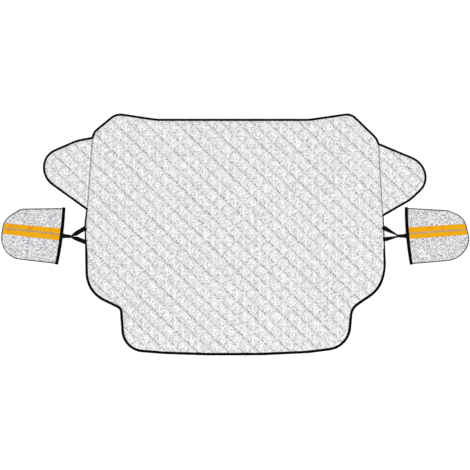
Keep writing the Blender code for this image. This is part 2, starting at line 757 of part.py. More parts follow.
for side, sizes in MIRROR_COVERS.items():
    cover = MirrorCover(sizes)
    name = side + "_mirror_"
    frame = Matrix.Translation((*sizes["mouth_middle"], 0.0))
    frame = frame @ Matrix.Rotation(math.radians(sizes["tip_direction"]), 4, "Z")
    carrier = bpy.data.objects.new(name + "cover", None)
    carrier.matrix_world = frame
    COVER.objects.link(carrier)
    front_top = FRONT_FOOT + FOIL_THICKNESS + TRIM_GAP
    line = sizes["reflective_line"]
    pieces = [
        cover_panel(name + "back", cover, BACK_FOOT, False, COVER, CRINKLED_FOIL),
        cover_panel(name + "front", cover, FRONT_FOOT, True, COVER, CRINKLED_FOIL),
        cover_hem(name + "hem", cover, COVER, GUIDES, BLACK_TAPE),
        cover_edge_binding(name + "edge_binding", cover, COVER, GUIDES, GREY_TAPE),
        cover_strip(
            name + "bright_tape",
            cover,
            sizes["bright_tape_mouth"],
            sizes["bright_tape_tip"],
            4,
            front_top,
            BRIGHT_TAPE_THICKNESS,
            COVER,
            ORANGE_TAPE,
        ),
        cover_strip(
            name + "reflective_line",
            cover,
            (line[0] - REFLECTIVE_WIDTH / 2, line[0] + REFLECTIVE_WIDTH / 2),
            (line[1] - REFLECTIVE_WIDTH / 2, line[1] + REFLECTIVE_WIDTH / 2),
            2,
            front_top + BRIGHT_TAPE_THICKNESS + TRIM_GAP,
            REFLECTIVE_THICKNESS,
            COVER,
            REFLECTIVE_TAPE,
        ),
    ]
    for piece in pieces:
        piece.parent = carrier
    strap = STRAPS[side]
    outward = 1 if side == "right" else -1
    for leg, height, layer in (("upper", strap["upper_height"], 1), ("lower", strap["lower_height"], -1)):
        start = point_at_height(bound_lower_path, height, outward)
        strap_leg(
            name + leg + "_strap",
            start,
            outward,
            strap["meeting"],
            frame,
            layer,
            COVER,
            GUIDES,
            BLACK_WEBBING,
        )
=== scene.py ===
import math

import bpy
import numpy as np
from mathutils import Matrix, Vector, noise


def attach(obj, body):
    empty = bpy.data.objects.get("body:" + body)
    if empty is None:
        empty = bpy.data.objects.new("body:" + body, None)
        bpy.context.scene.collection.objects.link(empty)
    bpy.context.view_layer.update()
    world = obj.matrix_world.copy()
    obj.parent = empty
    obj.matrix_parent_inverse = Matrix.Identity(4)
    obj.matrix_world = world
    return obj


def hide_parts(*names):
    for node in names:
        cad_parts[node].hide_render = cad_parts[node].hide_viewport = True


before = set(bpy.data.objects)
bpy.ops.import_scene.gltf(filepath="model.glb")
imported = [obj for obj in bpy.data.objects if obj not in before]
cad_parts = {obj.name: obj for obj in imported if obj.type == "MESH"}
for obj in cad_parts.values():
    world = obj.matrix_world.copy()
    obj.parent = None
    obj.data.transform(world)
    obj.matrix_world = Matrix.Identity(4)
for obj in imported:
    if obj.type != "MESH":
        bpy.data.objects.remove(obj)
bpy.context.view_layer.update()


# The quilted panels: silver film over padding with a soft lining, sewn through along two sets of
# slanting lines so that it stands up in diamonds, and gathered along every second falling line. A
# main panel and two door wings are cut to one outline and sewn together.

# The outline is the middle line of the tape round the edges, clockwise: x, y and corner radius.
upper_left, upper_right = (-0.7062, 0.4785), (0.7089, 0.4480)
lower_right, lower_left = (0.7290, 0.0934), (-0.7321, 0.1244)
top_edge = [
    (-0.6971, 0.5085, 0.133),
    (-0.5889, 0.5972, 0.072),
    (-0.3888, 0.5674, 0.215),
    (0.3668, 0.5673, 0.194),
    (0.5731, 0.5972, 0.061),
    (0.6989, 0.4758, 0.143),
]
right_wing_edge = [(0.9247, 0.3578, 0.109), (0.9528, 0.2535, 0.113), (0.8671, 0.1734, 0.102)]
lower_edge = [
    (0.7422, -0.1830, 0.275),
    (0.7085, -0.2757, 0.167),
    (0.5774, -0.3654, 0.072),
    (0.5600, -0.5566, 0.119),
    (0.3624, -0.5820, 0.309),
    (0.1303, -0.5926, 0.506),
    (-0.1342, -0.5933, 0.503),
    (-0.3512, -0.5865, 0.301),
    (-0.5519, -0.5704, 0.107),
    (-0.5659, -0.3661, 0.030),
    (-0.7344, -0.2835, 0.162),
    (-0.7380, -0.0615, 0.300),
    (-0.7415, 0.0525, 0.099),
]
left_wing_edge = [(-0.9491, 0.2803, 0.108), (-0.9438, 0.3941, 0.094), (-0.7846, 0.4633, 0.202)]
arc_step = math.radians(4)
straight_share = 0.495
seat_gap = 0.0003


def unit(vector):
    return vector / np.linalg.norm(vector)


def units(vectors):
    return vectors / np.linalg.norm(vectors, axis=1)[:, None]


def rounded_path(start, corners, end):
    """Straight runs from start to end, with an arc in place of each corner."""
    stops = [np.array(start[:2]), *(np.array(corner[:2]) for corner in corners), np.array(end[:2])]
    path = [stops[0]]
    for before, corner, after, radius in zip(stops, stops[1:], stops[2:], [c[2] for c in corners]):
        back, onward = unit(before - corner), unit(after - corner)
        half = math.acos(float(np.clip(back @ onward, -1, 1))) / 2
        room = min(np.linalg.norm(before - corner), np.linalg.norm(after - corner)) * straight_share
        cut = min(radius / math.tan(half), room)
        radius = cut * math.tan(half)
        centre = corner + unit(back + onward) * radius / math.sin(half)
        arm = corner + back * cut - centre
        turn = math.pi - 2 * half
        if arm[0] * onward[1] - arm[1] * onward[0] < 0:
            turn = -turn
        steps = max(1, math.ceil(abs(turn) / arc_step))
        for step in range(steps + 1):
            c, s = math.cos(turn * step / steps), math.sin(turn * step / steps)
            path.append(centre + np.array([c * arm[0] - s * arm[1], s * arm[0] + c * arm[1]]))
    path.append(stops[-1])
    return np.array(path)


def offset_path(path, outward):
    """The path moved to its left, which is outward for a path that runs clockwise."""
    runs = units(np.diff(path, axis=0))
    normals = np.stack([-runs[:, 1], runs[:, 0]], 1)
    first = np.vstack([normals[:1], normals])
    second = np.vstack([normals, normals[-1:]])
    mitre = (first + second) / (1 + (first * second).sum(1))[:, None]
    return path + mitre * outward


def cut_path(path, point, direction):
    """The part of the path that lies to the left of a line, with its ends on the line."""
    rest = path - np.array(point)
    side = direction[0] * rest[:, 1] - direction[1] * rest[:, 0]
    kept = []
    for here, there, a, b in zip(path, path[1:], side, side[1:]):
        if a > 0:
            kept.append(here)
        if a * b < 0:
            kept.append(here + (there - here) * a / (a - b))
    if side[-1] > 0:
        kept.append(path[-1])
    return np.array(kept)


def lengthened(path):
    """The path run on a little past both of its ends."""
    return np.vstack([path[0] * 2 - path[1], path, path[-1] * 2 - path[-2]])


def lengths_along(path):
    return np.concatenate([[0], np.cumsum(np.linalg.norm(np.diff(path, axis=0), axis=1))])


def spots_at(path, lengths):
    """The spots on a path at some lengths along it."""
    runs = lengths_along(path)
    return np.stack([np.interp(lengths, runs, axis) for axis in path.T], -1)


def evenly(path, step):
    """The path with its points at even distances."""
    whole = lengths_along(path)[-1]
    return spots_at(path, np.linspace(0, whole, max(2, math.ceil(whole / step) + 1)))


def distance_to(path, points):
    """Distance of each point to a line of straight runs, and the nearest spot on it."""
    start, run = path[:-1], np.diff(path, axis=0)
    best = np.full(len(points), np.inf)
    spot = np.zeros((len(points), 2))
    for a, r in zip(start, run):
        share = np.clip(((points - a) @ r) / (r @ r), 0, 1)
        near = a + share[:, None] * r
        away = np.linalg.norm(points - near, axis=1)
        closer = away < best
        best[closer] = away[closer]
        spot[closer] = near[closer]
    return best, spot


def inside(outline, points):
    count = np.zeros(len(points), int)
    for a, b in zip(outline, np.roll(outline, -1, axis=0)):
        if a[1] == b[1]:
            continue
        crosses = (a[1] > points[:, 1]) != (b[1] > points[:, 1])
        at = a[0] + (points[:, 1] - a[1]) * (b[0] - a[0]) / (b[1] - a[1])
        count += crosses & (points[:, 0] < at)
    return count % 2 == 1


top_path = rounded_path(upper_left, top_edge, upper_right)
right_wing_path = rounded_path(upper_right, right_wing_edge, lower_right)
lower_path = rounded_path(lower_right, lower_edge, lower_left)
left_wing_path = rounded_path(lower_left, left_wing_edge, upper_left)
right_seam = unit(np.array(lower_right) - upper_right)
left_seam = unit(np.array(upper_left) - lower_left)
right_out = np.array([-right_seam[1], right_seam[0]])
left_out = np.array([-left_seam[1], left_seam[0]])


# The layers from the floor up, and how far the cloth reaches into its tapes and is pressed by them.
tape_width, tape_thickness = 0.0112, 0.0008
broadest_tape = 1.18
cloth_foot = tape_thickness + seat_gap
pressed_lining, pressed_cloth = 0.0009, 0.0015
face_foot, cloth_top = cloth_foot + pressed_lining, cloth_foot + pressed_cloth
cloth_reach = tape_width / 2 - broadest_tape * tape_thickness - seat_gap
press_reach = (broadest_tape - 0.5) * tape_width + 0.0001
seam_reach = 0.0015
tape_rise, seam_rise = 0.013, 0.010

# The quilting: one crossing of two lines, and how many lines of each set there are to a metre.
quilt_crossing = np.array([0.0029, 0.1213])
line_counts = np.array([[1 / 0.07655, 1 / 0.07391], [-1 / 0.07698, 1 / 0.07592]])
across, backward = np.linalg.inv(line_counts).T
half_diamond = float(across[0])
crown_power, falling_share = 2.6, 0.72
crest_place, crest_spacing, crest_spread = -0.0042, 0.0150, 0.012
crest_middle, crest_length = 0.81, 0.34
diamond_height, gather_height, rumple_height = 0.0031, 0.00055, 0.00012
face_cells, lining_cells = 12, 4


def lattice_place(points):
    """Counts of quilting lines from the crossing, along the rising and along the falling lines."""
    return ((points - quilt_crossing) @ line_counts.T).T


def pillow(rising, falling):
    """Height of a diamond, 1 at its crown and 0 on the gathered seams, which are drawn tightest."""
    s, t = rising % 1, falling % 1
    return (1 - abs(2 * s - 1) ** crown_power) * (1 - falling_share * abs(2 * t - 1) ** crown_power)


def gathers(rising, falling):
    """Upright folds beside every second falling line, where the film is drawn together."""
    s, t = rising % 1, falling % 1
    over, up = (s - t) * half_diamond, s + t
    here = (np.floor(rising) % 2 == 0) * np.exp(-(((up - crest_middle) / crest_length) ** 2))
    here = here * np.exp(-(((over - crest_place) / crest_spread) ** 2))
    return here * np.cos(2 * math.pi * (over - crest_place) / crest_spacing)


def added(name, data):
    thing = bpy.data.objects.new(name, data)
    bpy.context.scene.collection.objects.link(thing)
    return thing


def select_only(thing):
    bpy.ops.object.select_all(action="DESELECT")
    thing.select_set(True)
    bpy.context.view_layer.objects.active = thing


def set_points(mesh, points):
    mesh.vertices.foreach_set("co", np.asarray(points, np.float32).ravel())
    mesh.update()


def points_of(mesh):
    points = np.empty(len(mesh.vertices) * 3, np.float32)
    mesh.vertices.foreach_get("co", points)
    return points.reshape(-1, 3).astype(float)


def new_grid(name, columns, rows):
    """A flat grid, and where each of its points lies as shares of its two sides."""
    bpy.ops.mesh.primitive_grid_add(x_subdivisions=columns, y_subdivisions=rows, size=1)
    grid = bpy.context.object
    grid.name = grid.data.name = name
    return grid, points_of(grid.data)[:, :2] + 0.5


def selected_points(mesh):
    chosen = np.empty(len(mesh.vertices), bool)
    mesh.vertices.foreach_get("select", chosen)
    return chosen


def even_normals(thing, merged=None):
    """Turns the faces one way, out of a closed piece, once points that coincide are merged."""
    select_only(thing)
    bpy.ops.object.mode_set(mode="EDIT")
    bpy.ops.mesh.select_all(action="SELECT")
    if merged:
        bpy.ops.mesh.remove_doubles(threshold=merged)
    bpy.ops.mesh.normals_make_consistent(inside=False)
    bpy.ops.object.mode_set(mode="OBJECT")


def thickened(sheet, thickness, crease_angle, merged=None):
    """Turns an open sheet face up and gives it its thickness, upwards."""
    even_normals(sheet, merged)
    if sum(face.normal.z for face in sheet.data.polygons) < 0:
        bpy.ops.object.mode_set(mode="EDIT")
        bpy.ops.mesh.flip_normals()
        bpy.ops.object.mode_set(mode="OBJECT")
    wall = sheet.modifiers.new("thickness", "SOLIDIFY")
    wall.thickness = thickness
    wall.offset = 1.0
    bpy.ops.object.modifier_apply(modifier="thickness")
    bpy.ops.object.shade_smooth_by_angle(angle=math.radians(crease_angle))
    return sheet


def pattern_grid(name, outline, cells):
    """A grid along the quilting lines, cut to an outline, its rim drawn onto the outline."""
    low, high = outline.min(0), outline.max(0)
    corners = np.array([low, high, (low[0], high[1]), (high[0], low[1])])
    rising, falling = lattice_place(corners)
    first = np.floor([rising.min(), falling.min()]).astype(int)
    count = np.ceil([rising.max(), falling.max()]).astype(int) - first
    grid, spots = new_grid(name, count[0] * cells, count[1] * cells)
    spots = spots * count + first
    spots = quilt_crossing + spots[:, :1] * across + spots[:, 1:] * backward
    set_points(grid.data, np.hstack([spots, np.zeros((len(spots), 1))]))
    index = np.empty(len(grid.data.polygons) * 4, np.int32)
    grid.data.polygons.foreach_get("vertices", index)
    centres = spots[index.reshape(-1, 4)].mean(1)
    select_only(grid)
    bpy.context.tool_settings.mesh_select_mode = (False, False, True)
    grid.data.polygons.foreach_set("select", ~inside(outline, centres))
    bpy.ops.object.mode_set(mode="EDIT")
    bpy.ops.mesh.delete(type="FACE")
    bpy.ops.mesh.select_mode(type="VERT")
    bpy.ops.mesh.select_all(action="DESELECT")
    bpy.ops.mesh.select_non_manifold()
    bpy.ops.object.mode_set(mode="OBJECT")
    rim = selected_points(grid.data)
    points = points_of(grid.data)
    edge = np.vstack([outline, outline[:1]])
    points[rim, :2] = distance_to(edge, points[rim, :2])[1]
    for corner in outline[corner_places(outline)]:
        nearest = np.argmin(np.where(rim, np.linalg.norm(points[:, :2] - corner, axis=1), np.inf))
        points[nearest, :2] = corner
    set_points(grid.data, points)
    return grid


def corner_places(outline):
    """Which points of an outline are sharp corners."""
    before = units(outline - np.roll(outline, 1, axis=0))
    after = units(np.roll(outline, -1, axis=0) - outline)
    return np.nonzero((before * after).sum(1) < math.cos(math.radians(25)))[0]


def rim_fade(points, bound_edges, seams):
    """0 where the cloth is pressed in its tape or seam, rising to 1 over the first pillows."""
    fade = np.ones(len(points))
    for edge in bound_edges:
        away = distance_to(edge, points)[0] - press_reach
        fade = np.minimum(fade, np.clip(away / tape_rise, 0, 1))
    for seam in seams:
        away = distance_to(seam, points)[0] - seam_reach
        fade = np.minimum(fade, np.clip(away / seam_rise, 0, 1))
    return fade * (2 - fade)


def close_sheet(sheet, depth):
    """The rim is drawn down and the underside is filled."""
    select_only(sheet)
    bpy.ops.object.mode_set(mode="EDIT")
    bpy.ops.mesh.select_mode(type="EDGE")
    bpy.ops.mesh.select_all(action="DESELECT")
    bpy.ops.mesh.select_non_manifold()
    bpy.ops.mesh.extrude_edges_move()
    bpy.ops.object.mode_set(mode="OBJECT")
    points = points_of(sheet.data)
    points[selected_points(sheet.data), 2] = depth
    set_points(sheet.data, points)
    bpy.ops.object.mode_set(mode="EDIT")
    bpy.ops.mesh.edge_face_add()
    bpy.ops.object.mode_set(mode="OBJECT")
    even_normals(sheet)


def face_sheet(name, outline, bound_edges, seams):
    """The padded silver face of one panel."""
    sheet = pattern_grid(name, outline, face_cells)
    points = points_of(sheet.data)
    rising, falling = lattice_place(points[:, :2])
    fade = rim_fade(points[:, :2], bound_edges, seams)
    diamonds = zip(np.floor(rising), np.floor(falling))
    fullness = np.array([noise.cell(Vector((a, b, 3.0))) for a, b in diamonds])
    rumple = np.array([noise.noise(Vector((x * 80, y * 80, 0.5))) for x, y, _ in points])
    lift = diamond_height * pillow(rising, falling) * (0.92 + 0.10 * fullness)
    lift += gather_height * gathers(rising, falling)
    lift += rumple_height * rumple
    points[:, 2] = cloth_top + np.maximum(0.0001, 0.0003 + lift) * fade
    set_points(sheet.data, points)
    close_sheet(sheet, face_foot)
    bpy.ops.object.shade_smooth_by_angle(angle=math.radians(60))
    return sheet


def lining_sheet(name, outline, bound_edges, seams):
    """The soft lining behind it, which the same seams draw into lower diamonds."""
    sheet = pattern_grid(name, outline, lining_cells)
    points = points_of(sheet.data)
    rising, falling = lattice_place(points[:, :2])
    fade = rim_fade(points[:, :2], bound_edges, seams)
    points[:, 2] = cloth_foot + 0.0002 - 0.0009 * pillow(rising, falling) * fade
    set_points(sheet.data, points)
    return thickened(sheet, 0.0005, 60)


class Grade:
    """A value that changes over a surface. Arithmetic on it adds Math nodes to the finish."""

    def __init__(self, finish, socket):
        self.finish = finish
        self.socket = socket

    def math(self, operation, *others):
        values = dict(enumerate((self, *others)))
        return self.finish.node("Math", {"operation": operation}, values)

    def __add__(self, other):
        return self.math("ADD", other)

    __radd__ = __add__

    def __mul__(self, other):
        return self.math("MULTIPLY", other)

    __rmul__ = __mul__

    def __sub__(self, other):
        return self.math("SUBTRACT", other)

    def __rsub__(self, other):
        return self.finish.node("Math", {"operation": "SUBTRACT"}, {0: other, 1: self})

    def __truediv__(self, other):
        return self.math("DIVIDE", other)

    def __abs__(self):
        return self.math("ABSOLUTE")

    def part(self):
        """What is left above the whole number below."""
        return self.math("FRACT")

    def from_line(self):
        """Distance to the nearest whole number."""
        return abs((self + 0.5).part() - 0.5)

    def cosine(self):
        return (self * (2 * math.pi)).math("COSINE")

    def bell(self, centre, width):
        """1 at the centre, falling off over the width."""
        away = (self - centre) / width
        return (away * away * -1.0).math("EXPONENT")

    def ramp(self, low, high, first=0.0, last=1.0):
        """Goes smoothly from first to last as the value goes from low to high."""
        settings = {"interpolation_type": "SMOOTHSTEP"}
        return self.finish.node("MapRange", settings, {0: self, 1: low, 2: high, 3: first, 4: last})


class Finish:
    """A material whose patterns are written as sums."""

    def __init__(self, name, colour, roughness, metallic=0.0, **sockets):
        self.material = bpy.data.materials.new(name)
        self.material.use_nodes = True
        self.tree = self.material.node_tree
        self.shader = self.tree.nodes["Principled BSDF"]
        self.shader.inputs["Base Color"].default_value = (*colour, 1)
        self.shader.inputs["Roughness"].default_value = roughness
        self.shader.inputs["Metallic"].default_value = metallic
        for socket, value in sockets.items():
            self.shader.inputs[socket.replace("_", " ")].default_value = value
        self.colour = (*colour, 1)
        self.material.diffuse_color = self.colour

    def node(self, kind, settings, values, output=0):
        made = self.tree.nodes.new("ShaderNode" + kind)
        for setting, value in settings.items():
            setattr(made, setting, value)
        for socket, value in values.items():
            if isinstance(value, Grade):
                self.tree.links.new(value.socket, made.inputs[socket])
            else:
                made.inputs[socket].default_value = value
        return Grade(self, made.outputs[output])

    def spot(self):
        """The place on the object."""
        return self.node("TexCoord", {}, {}, "Object")

    def plan(self, where):
        """The first two coordinates of a place."""
        return tuple(self.node("SeparateXYZ", {}, {0: where}, axis) for axis in (0, 1))

    def along_tape(self):
        """The tape's own coordinates in metres, along it and across it."""
        return self.plan(self.node("UVMap", {"uv_map": "tape"}, {}))

    def noise(self, where, scale, detail=2.0, roughness=0.5, distortion=0.0):
        values = {"Vector": where, "Scale": scale, "Detail": detail}
        values.update(Roughness=roughness, Distortion=distortion)
        return self.node("TexNoise", {}, values)

    def mixed(self, share, first, second):
        """A colour between two, by a share from 0 to 1."""
        values = {0: share, 6: first, 7: second}
        return self.node("Mix", {"data_type": "RGBA", "clamp_factor": True}, values, 2)

    def wear(self, socket, grade):
        self.tree.links.new(grade.socket, self.shader.inputs[socket])

    def turning(self, share, colour):
        """The finish's own colour goes over into another, by a share from 0 to 1."""
        self.wear("Base Color", self.mixed(share, self.colour, (*colour, 1)))

    def relief(self, height, distance):
        """Height is given in units of the distance."""
        values = {"Strength": 1.0, "Distance": distance, "Height": height}
        self.wear("Normal", self.node("Bump", {}, values))


def quilt_lines(x, y):
    """The lattice of the quilting in a finish: counts along both sets of lines."""
    x, y = x - float(quilt_crossing[0]), y - float(quilt_crossing[1])
    return tuple(x * float(a) + y * float(b) for a, b in line_counts)


def grain(finish, where, facet_scale, facet_share, noise_scale, low, high):
    """Crumpled film seen from afar: random shades in its small flats, and finer spots. It gives the
    film's relief, and in its colour it stands for painted reflections of the crumpled flats.
    """
    values = {"Vector": where, "Scale": facet_scale}
    cell = finish.node("TexVoronoi", {"feature": "F1"}, values, "Color")
    facets = finish.node("SeparateColor", {}, {0: cell}, 0)
    spots = finish.noise(where, noise_scale, 1).ramp(low, high)
    return facets * facet_share + spots * (1 - facet_share)


silver = Finish("silver_film", (0.905, 0.905, 0.915), 0.42, 0.35)
spot = silver.spot()
x, y = silver.plan(spot)
rising, falling = quilt_lines(x, y)
gathered_row = ((rising / 2).from_line() * 2).ramp(0.0, 0.05, 1, 0)
plain_row = (abs((rising / 2 + 0.025).part() - 0.5) * 2).ramp(0.0, 0.05, 1, 0)
crossing_row = falling.from_line().ramp(0.0, 0.05, 1, 0)
stitches = 0.55 + 0.45 * (falling * 14).cosine()
# The crowns of the diamonds, where the film's colour is painted lighter, as painted light on the
# pillow tops.
crown = (rising.part() - 0.55).bell(0, 0.36) * (falling.part() - 0.42).bell(0, 0.36)

# Where the film is gathered it creases in the same way in each repeat: place along both sets of
# lines, slant in degrees, half length and half width in millimetres, and depth. A ridge has a
# depth below 0. The depth shapes the relief, and the colour takes it too, as painted shade in each
# crease and a painted highlight on each ridge.
gather_creases = [
    (0.01, 0.554, -45, 5.0, 3.2, 1.00),
    (-0.020, 0.262, -75, 5.5, 2.8, 0.85),
    (0.020, 0.800, 50, 6.5, 2.5, 0.55),
    (-0.075, 0.950, -45, 8.0, 2.4, 0.38),
    (0.243, 0.733, -50, 7.5, 2.4, -0.70),
    (0.312, 0.613, -60, 6.5, 2.2, 0.40),
    (0.406, 0.500, 85, 17.0, 2.5, -0.60),
    (0.520, 0.330, 90, 3.5, 2.4, 0.35),
    (0.68, 0.58, 60, 6.0, 3.0, -0.35),
    (0.72, 0.84, 0, 4.5, 3.5, -0.45),
    (0.78, 0.30, 70, 5.0, 2.4, 0.22),
    (0.457, 0.95, 42, 7.5, 3.0, 0.40),
    (-0.473, 0.0, 42, 8.0, 3.0, 0.36),
    (-0.42, 0.62, -58, 15.0, 6.0, -0.30),
    (-0.75, 0.72, 80, 9.0, 2.5, -0.22),
    (-0.575, 0.289, 0, 3.5, 3.0, 0.30),
    (-0.76, 0.525, 0, 3.5, 3.0, 0.28),
    (-0.77, 0.96, -45, 6.5, 3.0, 0.26),
    (0.974, 0.755, -40, 4.5, 3.4, 0.55),
    (0.953, 0.357, -45, 11.0, 2.7, 0.52),
]
millimetre = 0.001
creases = 0.0
for along_s, along_t, slant, half_length, half_width, depth in gather_creases:
    beside = ((rising - along_s) / 2 + 0.5).part() * 2 - 1
    beyond = (falling - along_t + 0.5).part() - 0.5
    c, n = math.cos(math.radians(slant)), math.sin(math.radians(slant))
    fall = []
    for way, half_extent in (((c, n), half_length), ((-n, c), half_width)):
        away = beside * float(across @ way) + beyond * float(backward @ way)
        fall.append(away * away * (-1 / (half_extent * millimetre) ** 2))
    creases = creases + (fall[0] + fall[1]).math("EXPONENT") * depth

crumple = silver.noise(spot, 125, 3, 0.66, 0.8)
ridge = abs(crumple - 0.5)
speckle = grain(silver, spot, 235, 0.7, 290, 0.38, 0.62)
height = ridge * -0.6 + speckle - creases * 1.5 - gathered_row * 0.6 - plain_row * 0.6 * stitches
silver.relief(height, 0.0008)

# The film's colour holds painted light and shade. Its small flats and spots are painted lighter and
# darker as painted reflections of the crumpled film. It is a shade darker in the crumple folds, the
# creases and on the lines, as painted shade, and dark in the two wing seams, as a painted shadow.
# It is painted lighter on the crowns of the diamonds and on the gathered ridges, as painted light.
seam_line = 1.0
for corner, out in ((upper_right, right_out), (upper_left, left_out)):
    off_seam = x * float(out[0]) + y * float(out[1]) - float(np.dot(corner, out))
    seam_line = abs(off_seam).math("MINIMUM", seam_line)
painted_light_and_shade = 0.27 + (speckle - 0.5) * 1.2 + ridge.ramp(0.05, 0.0, 0, 0.07) - crown * 0.05
painted_light_and_shade = painted_light_and_shade + gathered_row * 0.14 + plain_row * 0.12 + crossing_row * 0.05 + creases * 0.92
painted_light_and_shade = painted_light_and_shade + seam_line.ramp(0.0014, 0.0042, 1.0, 0)
silver.turning(painted_light_and_shade, (0.28, 0.28, 0.295))
silver.wear("Roughness", crumple.ramp(0.3, 0.7, 0.36, 0.52))

lining = Finish("lining_cloth", (0.55, 0.55, 0.57), 0.9, 0.0, Sheen_Weight=0.3)
spot = lining.spot()
x, y = lining.plan(spot)
rows = sum(line.from_line().ramp(0.0, 0.03, 1, 0) for line in quilt_lines(x, y))
weave = (x * 900).cosine() * (y * 900).cosine()
lining.relief(weave * 0.3 + lining.noise(spot, 300, 2) - rows, 0.0003)
lining.turning(rows * 0.4, (0.25, 0.25, 0.26))


def main_outline():
    """The main panel's outline: its free edges, and its seams half a gap in."""
    right_inset, left_inset = right_out * seat_gap / 2, left_out * seat_gap / 2
    top = lengthened(offset_path(top_path, cloth_reach))
    top = cut_path(top, np.array(upper_left) - left_inset, -left_seam)
    top = cut_path(top, np.array(upper_right) - right_inset, -right_seam)
    lower = lengthened(offset_path(lower_path, cloth_reach))
    lower = lower[(lower[:, 1] < lower_right[1] - corner_room) | (lower[:, 0] < 0)]
    lower = lower[(lower[:, 1] < lower_left[1] - corner_room) | (lower[:, 0] > 0)]
    foot_right, foot_left = np.array(lower_right) - right_inset, np.array(lower_left) - left_inset
    return np.vstack([top, foot_right[None], lower, foot_left[None]])


def wing_outline(path, corner, direction, out):
    """A wing's outline: its free edge, closed along the seam."""
    edge = lengthened(offset_path(path, cloth_reach))
    return cut_path(edge, np.array(corner) + out * seat_gap / 2, direction)


right_seam_line = np.array([upper_right, lower_right])
left_seam_line = np.array([lower_left, upper_left])
corner_room = 0.004
panels = {
    "main_panel": (main_outline(), (top_path, lower_path), (right_seam_line, left_seam_line)),
    "right_wing": (
        wing_outline(right_wing_path, upper_right, right_seam, right_out),
        (right_wing_path,),
        (right_seam_line,),
    ),
    "left_wing": (
        wing_outline(left_wing_path, lower_left, left_seam, left_out),
        (left_wing_path,),
        (left_seam_line,),
    ),
}
for name, (outline, bound_edges, seams) in panels.items():
    face = face_sheet(name + "_face", outline, bound_edges, seams)
    back = lining_sheet(name + "_lining", outline, bound_edges, seams)
    for sheet, finish in ((face, silver), (back, lining)):
        sheet.data.materials.append(finish.material)
        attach(sheet, "root")
        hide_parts(name)
    flat = tuple(float(side) for side in outline.max(0) - outline.min(0))


# The binding: a woven black tape folded over every free edge of the cloth and sewn through, in
# four lengths that meet in mitres at the corners of the wings.
black_cloth, black_thread = (0.0014, 0.0014, 0.0016), (0.008, 0.008, 0.008)


def carried(name, frames, section, finish, node, ends=True):
    """A tape: its section carried through frames of point, outward axis and upward axis. A tape
    without ends closes on itself. Its own coordinates are written for its finish."""
    frames = [tuple(np.array(part, float) for part in row) for row in frames]
    section = np.array(section)
    rings, sides = len(frames), len(section)
    points = [spot + section[:, :1] * out + section[:, 1:] * up for spot, out, up in frames]
    points = np.concatenate(points)
    faces = []
    for ring in range(rings - (1 if ends else 0)):
        here, there = ring * sides, (ring + 1) % rings * sides
        for side in range(sides):
            beside = (side + 1) % sides
            faces.append((here + side, here + beside, there + beside, there + side))
    quads = len(faces)
    if ends:
        faces.append(tuple(range(sides))[::-1])
        faces.append(tuple(range((rings - 1) * sides, rings * sides)))
    mesh = bpy.data.meshes.new(name)
    mesh.from_pydata(points.tolist(), [], faces)
    made = added(name, mesh)
    middle = np.array([row[0] for row in frames])
    if not ends:
        middle = np.vstack([middle, middle[:1]])
    runs = lengths_along(middle)
    girth = lengths_along(np.vstack([section, section[:1]]))
    layer = mesh.uv_layers.new(name="tape")
    for face in mesh.polygons:
        for order, (loop, vertex) in enumerate(zip(face.loop_indices, face.vertices)):
            ring, side = divmod(vertex, sides)
            if face.index < quads:
                ring = face.index // sides + (order >= 2)
                side = face.index % sides + (order in (1, 2))
            layer.data[loop].uv = (runs[ring], girth[side])
    even_normals(made)
    bpy.ops.object.shade_smooth_by_angle(angle=math.radians(50))
    made.data.materials.append(finish.material)
    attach(made, "root")
    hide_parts(node)
    return made


def level_frames(path, wander=0.0, seed=0.0):
    """Frames along a path on the floor, outward to its left. The tape's width may vary a little."""
    frames = []
    for (x, y), (rx, ry) in zip(path, units(np.gradient(path, axis=0))):
        sway = 1 + wander * noise.noise(Vector((x * 40, y * 40, seed)))
        frames.append(((x, y, 0.0), (-ry * sway, rx * sway, 0), (0, 0, 1)))
    return frames


def folded_tape(width, height, thickness):
    """The section of a tape folded over an edge, its fold rounded and its cut edges soft."""
    half = width / 2
    fold = min(height / 2, 2.2 * thickness)
    arc = [math.radians(a) for a in (0, 30, 60, 90)]
    points = [(-half, 0.15 * thickness), (-half + 0.5 * thickness, 0), (0, 0)]
    points += [(half - fold + fold * math.sin(a), fold - fold * math.cos(a)) for a in arc]
    points += [(half - fold + fold * math.cos(a), height - fold + fold * math.sin(a)) for a in arc]
    points += [(0, height * 1.03), (-half + 0.5 * thickness, height)]
    points += [(-half, height - 0.15 * thickness), (-half, height - 0.85 * thickness)]
    inner = half - thickness
    points += [(-half + 0.4 * thickness, height - thickness)]
    points += [(inner - thickness, height - thickness), (inner, height / 2)]
    points += [(inner - thickness, thickness)]
    points += [(-half + 0.4 * thickness, thickness), (-half, 0.85 * thickness)]
    return points


def woven(name, colour, roughness, thread, stitch_across, stitch_colour, **sockets):
    """A woven tape: fine cross weave, and one row of stitches along it."""
    finish = Finish(name, colour, roughness, 0.0, **sockets)
    along, over = finish.along_tape()
    weave = (along / thread).cosine() * (over / thread).cosine()
    mottle = finish.noise(finish.spot(), 60, 3)
    step = (along / 0.0042).part()
    stitch = step.ramp(0.10, 0.20, 0, 1) * step.ramp(0.70, 0.80, 1, 0)
    row = stitch * (over - stitch_across).bell(0, 0.0005)
    finish.relief(weave * 0.5 + row * 1.2 + mottle * 0.4, 0.0003)
    shade = tuple(channel * 0.55 for channel in colour) + (1,)
    base = finish.mixed(mottle.ramp(0.3, 0.7), finish.colour, shade)
    finish.wear("Base Color", finish.mixed(row.math("MINIMUM", 1.0), base, (*stitch_colour, 1)))
    return finish


black_tape = woven(
    "black_tape", black_cloth, 0.9, 0.0011, 0.0195, black_thread, Specular_IOR_Level=0.05
)
cloth_height = cloth_top + seat_gap + tape_thickness
binding_section = folded_tape(tape_width, cloth_height, tape_thickness)
ring_step, tape_wander = 0.008, 0.05

